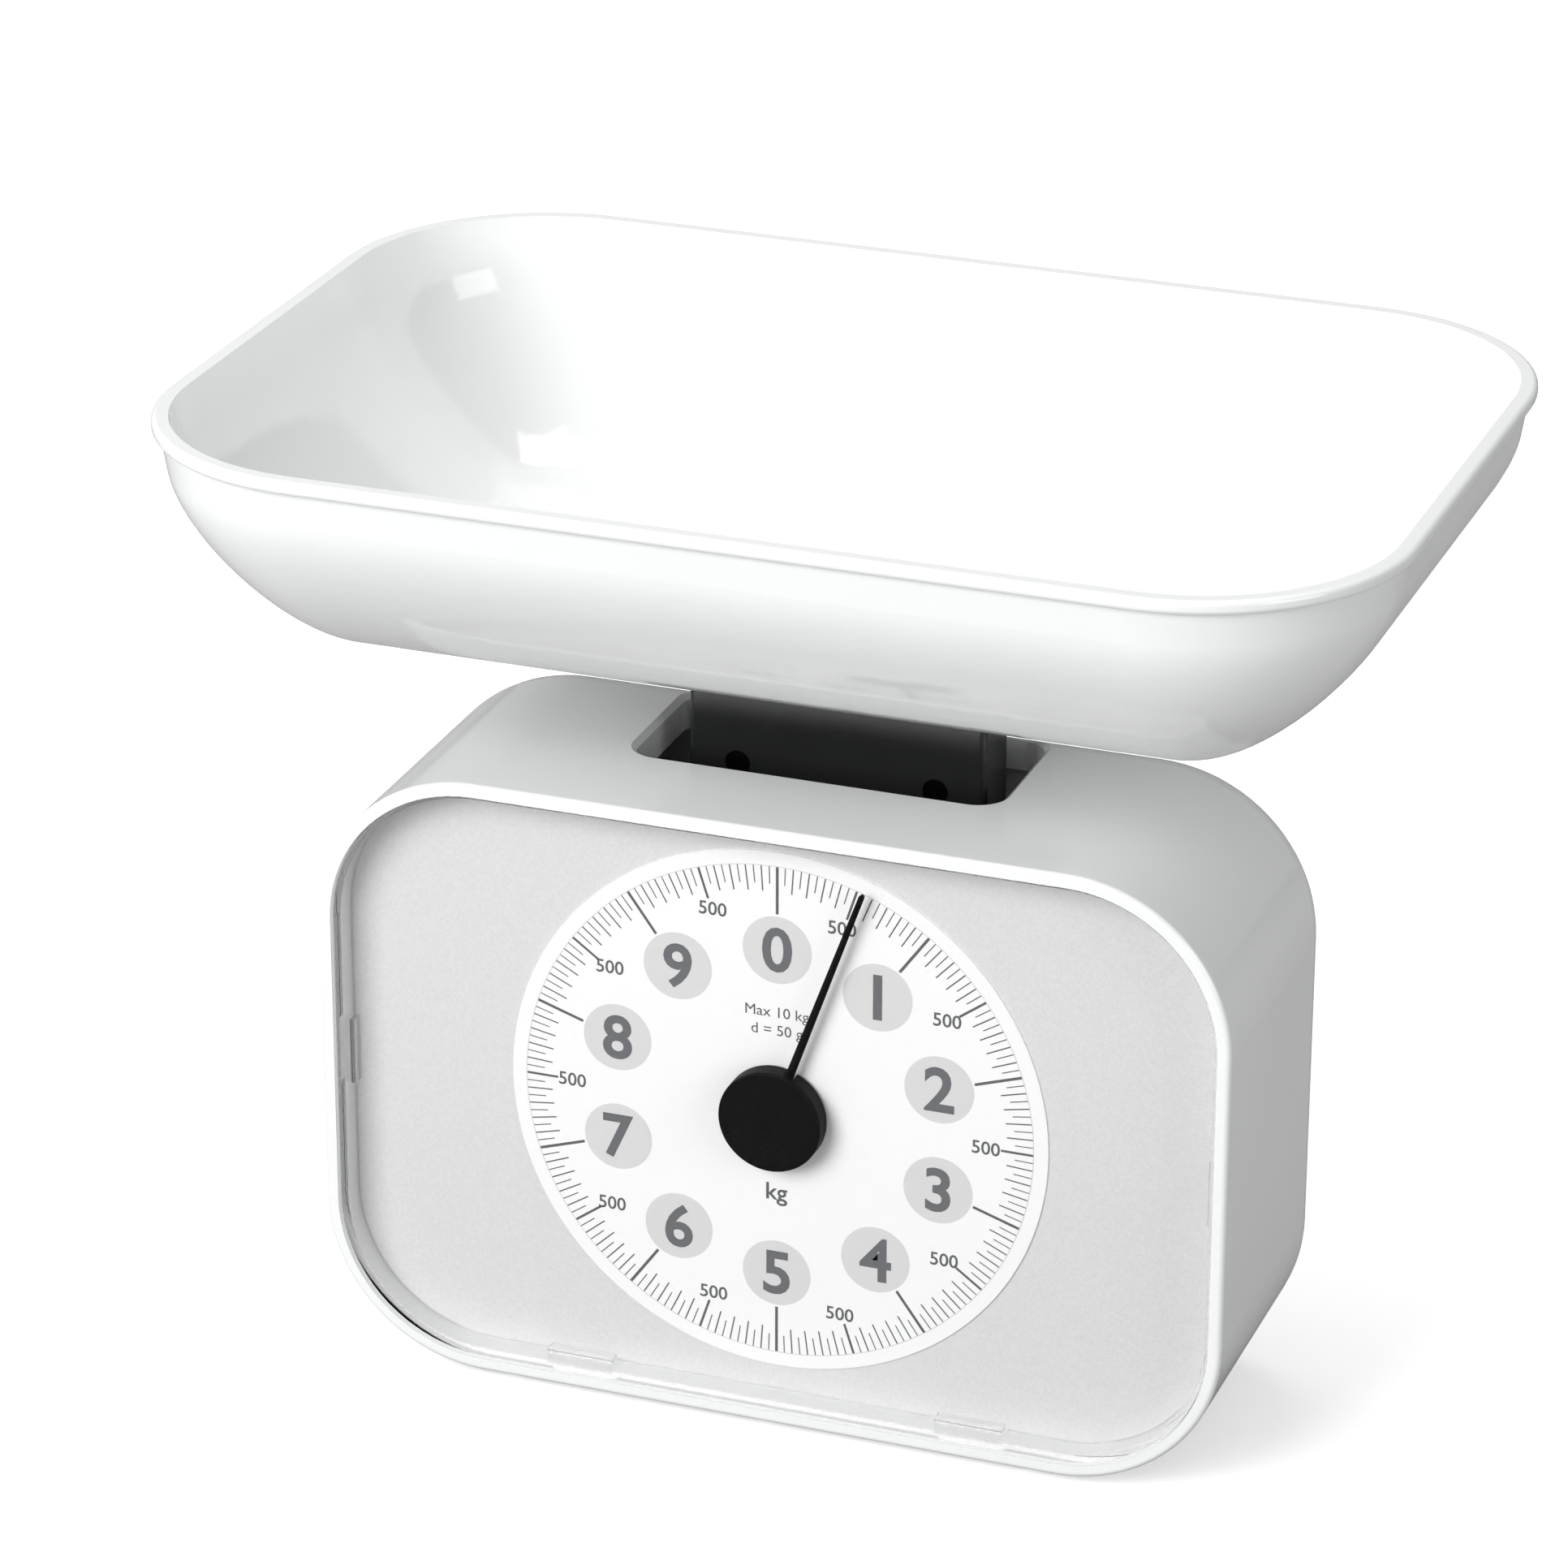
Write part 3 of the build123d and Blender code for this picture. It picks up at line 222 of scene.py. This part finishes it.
# ---------------------------------------------------------------------------------------------------
# Dial printing: screen-printed ink on the card. 200 divisions of 50 g, longer at each 100 g, bold at
# each 500 g and each kilogram, inside a thin circle. A figure on a pale disc marks each kilogram, and a
# small one each half kilogram. The ink is an even matt grey and lies a few hundredths of a mm proud.
# ---------------------------------------------------------------------------------------------------


def printing_ink(name, tint, shade):
    """Screen ink: an even colour with a slightly uneven coat."""
    coat_scale = 900.0  # patches about 1 mm across
    material, tree, shader, place = new_material(name)
    coat = add_node(tree, "ShaderNodeTexNoise", {"Vector": (place, "Object")}, Scale=coat_scale, Detail=3.0)
    tone = add_node(
        tree, "ShaderNodeMix", {"Factor": (coat, "Fac")}, {6: colour(tint), 7: colour(shade)},
        data_type="RGBA",
    )
    tree.links.new(tone.outputs[2], shader.inputs["Base Color"])
    set_shader(shader, Roughness=0.5)
    return material


def piece(name, mesh_data, material, body=None):
    """A finished bmesh as an object with the given material, riding a body if one is given."""
    mesh = bpy.data.meshes.new(name)
    mesh_data.normal_update()
    mesh_data.to_mesh(mesh)
    mesh_data.free()
    mesh.materials.append(material)
    made = bpy.data.objects.new(name, mesh)
    bpy.context.scene.collection.objects.link(made)
    if body:
        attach(made, body)
    return made


card_low, card_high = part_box("dial_card")
card_y = card_low.y
card_x = (card_low.x + card_high.x) / 2
card_z = (card_low.z + card_high.z) / 2
ink_lift = 0.00002
full_load = 10


def on_dial(x, z, lift):
    """A point on the card's face, x and z from the dial's centre, lift towards the viewer."""
    return Vector((card_x + x, card_y - lift, card_z + z))


def on_scale(kilograms, reach_x, reach_z):
    """The (x, z) from the dial's centre where this load is shown, at these reaches across and up."""
    turn = 2 * pi * kilograms / full_load
    return reach_x * sin(turn), reach_z * cos(turn)


def add_slab(mesh, outline, lift, thickness=ink_lift):
    """A flat printed patch: outline as (x, z) from the dial's centre, from lift to lift + thickness."""
    low = [mesh.verts.new(on_dial(x, z, lift)) for x, z in outline]
    high = [mesh.verts.new(on_dial(x, z, lift + thickness)) for x, z in outline]
    mesh.faces.new(high)
    mesh.faces.new(list(reversed(low)))
    for i in range(len(outline)):
        j = (i + 1) % len(outline)
        mesh.faces.new((low[i], low[j], high[j], high[i]))


def circle_points(x, z, radius, count):
    """Points evenly round a circle on the card."""
    turns = [2 * pi * i / count for i in range(count)]
    return [(x + radius * cos(turn), z + radius * sin(turn)) for turn in turns]


tick_ink = printing_ink("dark grey screen ink", "#5C5E60", "#65676A")
figure_ink = printing_ink("mid grey screen ink", "#66686B", "#6F7174")
disc_ink = printing_ink("pale grey screen ink", "#DADADA", "#DEDEDE")

divisions = 200
tick_radius = 0.0570
tick_kinds = (  # every so many divisions: inner radius and width
    (20, 0.0462, 0.00062),
    (10, 0.0499, 0.00052),
    (2, 0.0513, 0.00028),
    (1, 0.0530, 0.00022),
)
ticks = bmesh.new()
for division in range(divisions):
    inner, width = next((inner, width) for every, inner, width in tick_kinds if division % every == 0)
    turn = 2 * pi * division / divisions
    along = (sin(turn), cos(turn))
    across = (cos(turn), -sin(turn))
    outline = []
    for reach, side in ((inner, -1), (inner, 1), (tick_radius, 1), (tick_radius, -1)):
        shift = side * width / 2
        outline.append((reach * along[0] + shift * across[0], reach * along[1] + shift * across[1]))
    add_slab(ticks, outline, ink_lift)
bmesh.ops.recalc_face_normals(ticks, faces=ticks.faces)
piece("dial_ticks", ticks, tick_ink, "base")


def add_ring(mesh, inner, outer, lift, thickness=ink_lift, count=240):
    """A thin printed circle about the dial's centre."""
    loops = []
    top = lift + thickness
    for radius, height in ((inner, lift), (outer, lift), (outer, top), (inner, top)):
        loops.append([mesh.verts.new(on_dial(x, z, height)) for x, z in circle_points(0, 0, radius, count)])
    for a in range(4):
        b = (a + 1) % 4
        for i in range(count):
            j = (i + 1) % count
            mesh.faces.new((loops[a][i], loops[a][j], loops[b][j], loops[b][i]))


circle_width = 0.00018
circle = bmesh.new()
add_ring(circle, tick_radius, tick_radius + circle_width, ink_lift)
bmesh.ops.recalc_face_normals(circle, faces=circle.faces)
piece("dial_circle", circle, disc_ink, "base")

figure_radius = 0.0380
disc_radius = 0.0077
discs = bmesh.new()
for kilogram in range(full_load):
    x, z = on_scale(kilogram, figure_radius, figure_radius)
    add_slab(discs, circle_points(x, z, disc_radius, 64), ink_lift)
bmesh.ops.recalc_face_normals(discs, faces=discs.faces)
piece("dial_figure_discs", discs, disc_ink, "base")


def add_lettering(mesh, text, x, z, height, weight, lift):
    """Figures or letters, height tall, centred at (x, z) on the card, weight being the extra stroke."""
    curve = bpy.data.curves.new("lettering", "FONT")
    curve.body = text
    curve.offset = weight
    curve.extrude = 0.01  # only so that front and back differ, since both are laid flat below
    curve.resolution_u = 4
    carrier = bpy.data.objects.new("lettering", curve)
    bpy.context.scene.collection.objects.link(carrier)
    graph = bpy.context.evaluated_depsgraph_get()
    flat = bpy.data.meshes.new_from_object(carrier.evaluated_get(graph))
    bpy.data.objects.remove(carrier)
    xs = [v.co.x for v in flat.vertices]
    ys = [v.co.y for v in flat.vertices]
    scale = height / (max(ys) - min(ys))
    middle = Vector(((max(xs) + min(xs)) / 2, (max(ys) + min(ys)) / 2, 0))
    for vertex in flat.vertices:
        at = (vertex.co - middle) * scale
        level = lift + (ink_lift if vertex.co.z > 0 else 0)
        vertex.co = on_dial(x + at.x, z + at.y, level)
    mesh.from_mesh(flat)
    bpy.data.meshes.remove(flat)


figure_height = 0.0104
figure_weight = 0.022
figures = bmesh.new()
for kilogram in range(full_load):
    x, z = on_scale(kilogram, figure_radius, figure_radius)
    add_lettering(figures, str(kilogram), x, z, figure_height, figure_weight, 2 * ink_lift)
piece("dial_figures", figures, figure_ink, "base")

half_reach_x = 0.0466
half_reach_z = 0.0476
half_height = 0.0031
half_weight = 0.010
captions = (  # words, height above the centre, letter height, extra stroke
    ("Max 10 kg", 0.0232, 0.0032, 0.0),
    ("d = 50 g", 0.0190, 0.0032, 0.0),
    ("kg", -0.0192, 0.0052, 0.012),
)
small_figures = bmesh.new()
for kilogram in range(full_load):
    x, z = on_scale(kilogram + 0.5, half_reach_x, half_reach_z)
    add_lettering(small_figures, "500", x, z, half_height, half_weight, ink_lift)
for words, z, height, weight in captions:
    add_lettering(small_figures, words, 0, z, height, weight, ink_lift)
piece("dial_small_figures", small_figures, tick_ink, "base")

# ---------------------------------------------------------------------------------------------------
# Pointer needle: a black ABS blade, moulded with a ridge along its front, tapering to a rounded tip.
# It leaves the hub through a notch and clears the card by about 2.4 mm, so it drops a shadow on it.
# ---------------------------------------------------------------------------------------------------

shown_turn = radians(19.8)
needle_reach = 0.0584
needle_root_half = 0.00098
needle_taper = 0.00040
tip_length = 0.0007
tip_blunt = 0.12
ridge_fall = 0.35
flank_share = 0.2
stations = 96
needle_low, needle_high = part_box("pointer_needle")
needle_mid_y = (needle_low.y + needle_high.y) / 2
needle_half = (needle_high.y - needle_low.y) / 2
needle = bmesh.new()
rows = []
for station in range(stations + 1):
    share = station / stations
    distance = needle_reach * share
    rounding = max(0.0, (distance - needle_reach + tip_length) / tip_length)
    half_width = (needle_root_half - needle_taper * share) * max(tip_blunt, 1 - rounding ** 2) ** 0.5
    ridge = needle_half * (1 - ridge_fall * share)
    flank = -ridge * flank_share
    section = [
        (-half_width, needle_half), (-half_width, flank), (0, -ridge), (half_width, flank),
        (half_width, needle_half),
    ]
    row = []
    for across, deep in section:
        x = distance * sin(shown_turn) + across * cos(shown_turn)
        z = distance * cos(shown_turn) - across * sin(shown_turn)
        row.append(needle.verts.new((card_x + x, needle_mid_y + deep, card_z + z)))
    rows.append(row)
for a, b in zip(rows, rows[1:]):
    for i in range(len(section)):
        j = (i + 1) % len(section)
        needle.faces.new((a[i], a[j], b[j], b[i]))
needle.faces.new(rows[0])
needle.faces.new(list(reversed(rows[-1])))
bmesh.ops.recalc_face_normals(needle, faces=needle.faces)
blade = piece("needle_blade", needle, hub_abs, "pointer")
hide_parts("pointer_needle")

# ---------------------------------------------------------------------------------------------------
# Movement plates, levers, bearing bridge and rack bracket: rolled steel sheet, pressed and zinc plated.
# Zinc plate is a cool grey with a faint blue and yellow cast and the directional grain of rolled sheet.
# ---------------------------------------------------------------------------------------------------


def metal(name, tint, shade, roughness, spread, stretch, grain_mm):
    """Metal with its grain drawn out along one axis by stretch, as rolling or turning leaves it."""
    material, tree, shader, place = new_material(name)
    drawn = add_node(tree, "ShaderNodeMapping", {"Vector": (place, "Object")}, Scale=stretch)
    grain = add_node(
        tree, "ShaderNodeTexNoise", {"Vector": (drawn, "Vector")}, Scale=1000.0 / grain_mm, Detail=3.0,
    )
    tone = add_node(
        tree, "ShaderNodeMix", {"Factor": (grain, "Fac")}, {6: colour(tint), 7: colour(shade)},
        data_type="RGBA",
    )
    tree.links.new(tone.outputs[2], shader.inputs["Base Color"])
    gloss = add_node(
        tree, "ShaderNodeMapRange", {"Value": (grain, "Fac")},
        To_Min=roughness - spread, To_Max=roughness + spread,
    )
    tree.links.new(gloss.outputs["Result"], shader.inputs["Roughness"])
    bump = add_node(tree, "ShaderNodeBump", {"Height": (grain, "Fac")}, Strength=0.2, Distance=0.00002)
    tree.links.new(bump.outputs["Normal"], shader.inputs["Normal"])
    set_shader(shader, Metallic=1.0)
    return material


zinc_steel = metal("zinc-plated pressed steel", "#B9BCC0", "#A9ABA6", 0.38, 0.08, (0.06, 1.0, 1.0), 0.8)
for node in ("front_plate", "rear_plate", "upper_lever", "lower_lever", "bearing_bridge", "rack_bracket"):
    finish_node(node, zinc_steel)

# ---------------------------------------------------------------------------------------------------
# Pins, pillars, spacers, clips, shafts and most screws: bright steel, turned or stamped.
# It is a clean pale metal with fine rings round it from the lathe.
# ---------------------------------------------------------------------------------------------------

bright_steel = metal("bright turned steel", "#CFD0D1", "#BEBFC0", 0.24, 0.05, (1.0, 0.05, 1.0), 0.3)
for node in (
    "plate_pillars", "pillar_screws", "movement_screws", "bridge_screws", "pivot_pins", "pivot_spacers",
    "pivot_clips", "bracket_screw", "carriage_pins", "carriage_clips", "spring_pin",
    "pointer_shaft", "adjuster_shaft",
):
    finish_node(node, bright_steel)

# ---------------------------------------------------------------------------------------------------
# Post screws: steel with a black oxide finish, so that they don't show against the black post.
# Black oxide is a dull, nearly black film with a little metal sheen.
# ---------------------------------------------------------------------------------------------------

black_oxide = metal("black oxide steel", "#0E0E0F", "#1A1A1B", 0.5, 0.08, (1.0, 0.05, 1.0), 0.3)
finish_node("post_screws", black_oxide)

# ---------------------------------------------------------------------------------------------------
# Pinion, bushes and rivets: turned brass, pressed or riveted into place.
# It is warm and slightly dull, with the rings that the lathe leaves.
# ---------------------------------------------------------------------------------------------------

turned_brass = metal("turned brass", "#D8B365", "#C49C4E", 0.28, 0.06, (1.0, 0.05, 1.0), 0.3)
for node in ("pinion", "front_bush", "bridge_bush", "adjuster_bush", "rack_rivets"):
    finish_node(node, turned_brass)

# ---------------------------------------------------------------------------------------------------
# Carriage, rack and adjuster washer: natural white acetal, moulded.
# It is a creamy white with a waxy, low sheen.
# ---------------------------------------------------------------------------------------------------

acetal = moulded_plastic(
    "natural acetal moulded", "#E6E5DF", "#DEDDD5", 0.4, 0.06, grain_mm=0.6, grain_depth=0.00001, ior=1.48,
)
for node in ("carriage", "rack", "adjuster_washer"):
    finish_node(node, acetal)

# ---------------------------------------------------------------------------------------------------
# Feet and overload pad: grey moulded rubber, pressed into the housing.
# It is matt, with a faint uneven bloom.
# ---------------------------------------------------------------------------------------------------

grey_rubber = moulded_plastic(
    "grey moulded rubber", "#5A5C5D", "#66686A", 0.75, 0.08, grain_mm=0.7, grain_depth=0.00004, ior=1.52,
)
for node in ("rubber_feet", "overload_pad"):
    finish_node(node, grey_rubber)

# ---------------------------------------------------------------------------------------------------
# Main spring: drawn spring steel wire, close wound, with a half loop at each end. It stretches from
# the crank pin, which stays, to the pin in the carriage's foot, which goes down with the pan.
# ---------------------------------------------------------------------------------------------------

spring_wire = metal("drawn spring steel", "#8E9092", "#A3A5A7", 0.3, 0.06, (1.0, 1.0, 0.1), 0.25)
spring_low, spring_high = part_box("spring")
wire_radius = 0.0008
coil_radius = 0.0042
coil_margin = 0.00435
coils = 26
steps_per_coil = 18
hook_steps = 8
spring_y = (spring_low.y + spring_high.y) / 2
upper_hook_z = spring_high.z - coil_radius - wire_radius
lower_hook_z = spring_low.z + coil_radius + wire_radius
coil_top = upper_hook_z - coil_margin
coil_bottom = lower_hook_z + coil_margin
route = []
for step in range(hook_steps + 1):
    turn = pi * step / hook_steps
    route.append((-coil_radius * cos(turn), spring_y, lower_hook_z - coil_radius * sin(turn)))
for step in range(coils * steps_per_coil + 1):
    turn = 2 * pi * step / steps_per_coil
    height = coil_bottom + (coil_top - coil_bottom) * step / (coils * steps_per_coil)
    route.append((coil_radius * cos(turn), spring_y + coil_radius * sin(turn), height))
for step in range(hook_steps + 1):
    turn = pi * step / hook_steps
    route.append((coil_radius * cos(turn), spring_y, upper_hook_z + coil_radius * sin(turn)))
wire = bpy.data.curves.new("spring_line", "CURVE")
wire.dimensions = "3D"
wire.bevel_depth = wire_radius
wire.bevel_resolution = 3
wire.use_fill_caps = True
line = wire.splines.new("POLY")
line.points.add(len(route) - 1)
for point, at in zip(line.points, route):
    point.co = (*at, 1.0)
carrier = bpy.data.objects.new("spring_line", wire)
bpy.context.scene.collection.objects.link(carrier)
graph = bpy.context.evaluated_depsgraph_get()
wire_mesh = bpy.data.meshes.new_from_object(carrier.evaluated_get(graph))
bpy.data.objects.remove(carrier)
spring_form = bmesh.new()
spring_form.from_mesh(wire_mesh)
bpy.data.meshes.remove(wire_mesh)
for face in spring_form.faces:
    face.smooth = True
main_spring = piece("main_spring", spring_form, spring_wire)
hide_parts("spring")
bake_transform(main_spring)

# ---------------------------------------------------------------------------------------------------
# Studio: a pale floor, a broad soft light from the front left, weaker ones from the right and above, and
# a surround that falls off to the right. The camera sees a white backdrop with a soft shadow.
# ---------------------------------------------------------------------------------------------------



def sees_backdrop(tree):
    """1 for the rays that see the white backdrop, straight or through the window, and 0 for others."""
    rays = tree.nodes.new("ShaderNodeLightPath")
    return add_node(
        tree, "ShaderNodeMath", {0: (rays, "Is Camera Ray"), 1: (rays, "Is Transmission Ray")},
        operation="MAXIMUM",
    )


floor_reach = 6.0
floor_lift = 0.42
floor_mesh = bpy.data.meshes.new("floor")
sides = ((-1, -1), (1, -1), (1, 1), (-1, 1))
corners = [(floor_reach * x, floor_reach * y, 0) for x, y in sides]
floor_mesh.from_pydata(corners, [], [(0, 1, 2, 3)])
floor = bpy.data.objects.new("floor", floor_mesh)
bpy.context.scene.collection.objects.link(floor)
floor_paint = bpy.data.materials.new("pale studio floor")
floor_paint.use_nodes = True
tree = floor_paint.node_tree
tree.nodes.clear()
seen = sees_backdrop(tree)
paint = add_node(
    tree, "ShaderNodeMix", {"Factor": (seen, 0)}, {6: colour("#A8A8A8"), 7: colour("#F2F2F2")},
    data_type="RGBA",
)
matt = add_node(tree, "ShaderNodeBsdfDiffuse", {"Color": (paint, 2)})
lift = add_node(tree, "ShaderNodeMath", {0: (seen, 0)}, {1: floor_lift}, operation="MULTIPLY")
glow = add_node(tree, "ShaderNodeEmission", {"Strength": (lift, 0)}, Color=(1, 1, 1, 1))
both = add_node(tree, "ShaderNodeAddShader", {0: (matt, 0), 1: (glow, 0)})
add_node(tree, "ShaderNodeOutputMaterial", {"Surface": (both, 0)})
floor_mesh.materials.append(floor_paint)

surround_left = 0.46
surround_right = 0.27
world = bpy.data.worlds.new("studio surround")
bpy.context.scene.world = world
world.use_nodes = True
tree = world.node_tree
tree.nodes.clear()
seen = sees_backdrop(tree)
direction = tree.nodes.new("ShaderNodeTexCoord")
parts = add_node(tree, "ShaderNodeSeparateXYZ", {0: (direction, "Generated")})
falling = add_node(
    tree, "ShaderNodeMapRange", {"Value": (parts, "X")},
    From_Min=-1.0, From_Max=1.0, To_Min=surround_left, To_Max=surround_right,
)
level = add_node(tree, "ShaderNodeMapRange", {"Value": (seen, 0), "To Min": (falling, 0)}, To_Max=1.0)
surround = add_node(tree, "ShaderNodeBackground", {"Strength": (level, "Result")}, Color=(1, 1, 1, 1))
add_node(tree, "ShaderNodeOutputWorld", {"Surface": (surround, 0)})


def soft_light(name, place, target, size, power):
    """A square soft box at place, facing target."""
    lamp = bpy.data.lights.new(name, "AREA")
    lamp.size = size
    lamp.energy = power
    holder = bpy.data.objects.new(name, lamp)
    holder.location = place
    holder.rotation_euler = (Vector(target) - Vector(place)).to_track_quat("-Z", "Y").to_euler()
    bpy.context.scene.collection.objects.link(holder)


middle = (0, 0, 0.11)
soft_light("key_light", (-0.8, -1.6, 1.0), middle, 1.2, 38.0)
soft_light("fill_light", (1.4, -0.6, 0.6), middle, 0.8, 6.5)
soft_light("top_light", (-0.3, 0.5, 1.5), middle, 0.9, 9.0)

# ---------------------------------------------------------------------------------------------------
# Camera: a long lens from the front, to the right of the scale and above it.
# Its axis comes from an azimuth, an elevation and a slight roll.
# ---------------------------------------------------------------------------------------------------

azimuth = radians(20.27)
elevation = radians(23.37)
roll = radians(0.12)
camera_place = (0.4094, -1.1478, 0.6567)
back = Vector((sin(azimuth) * cos(elevation), -cos(azimuth) * cos(elevation), sin(elevation)))
level = (-back).cross(Vector((0, 0, 1))).normalized()
upward = level.cross(-back)
right_axis = level * cos(roll) + upward * sin(roll)
up_axis = upward * cos(roll) - level * sin(roll)
lens_data = bpy.data.cameras.new("camera")
lens_data.lens = 142.67
lens_data.sensor_width = 36.0
camera = bpy.data.objects.new("camera", lens_data)
turned = Matrix((right_axis, up_axis, back)).transposed()
camera.matrix_world = Matrix.Translation(camera_place) @ turned.to_4x4()
bpy.context.scene.collection.objects.link(camera)
bpy.context.scene.camera = camera
bpy.context.scene.view_settings.view_transform = "Standard"
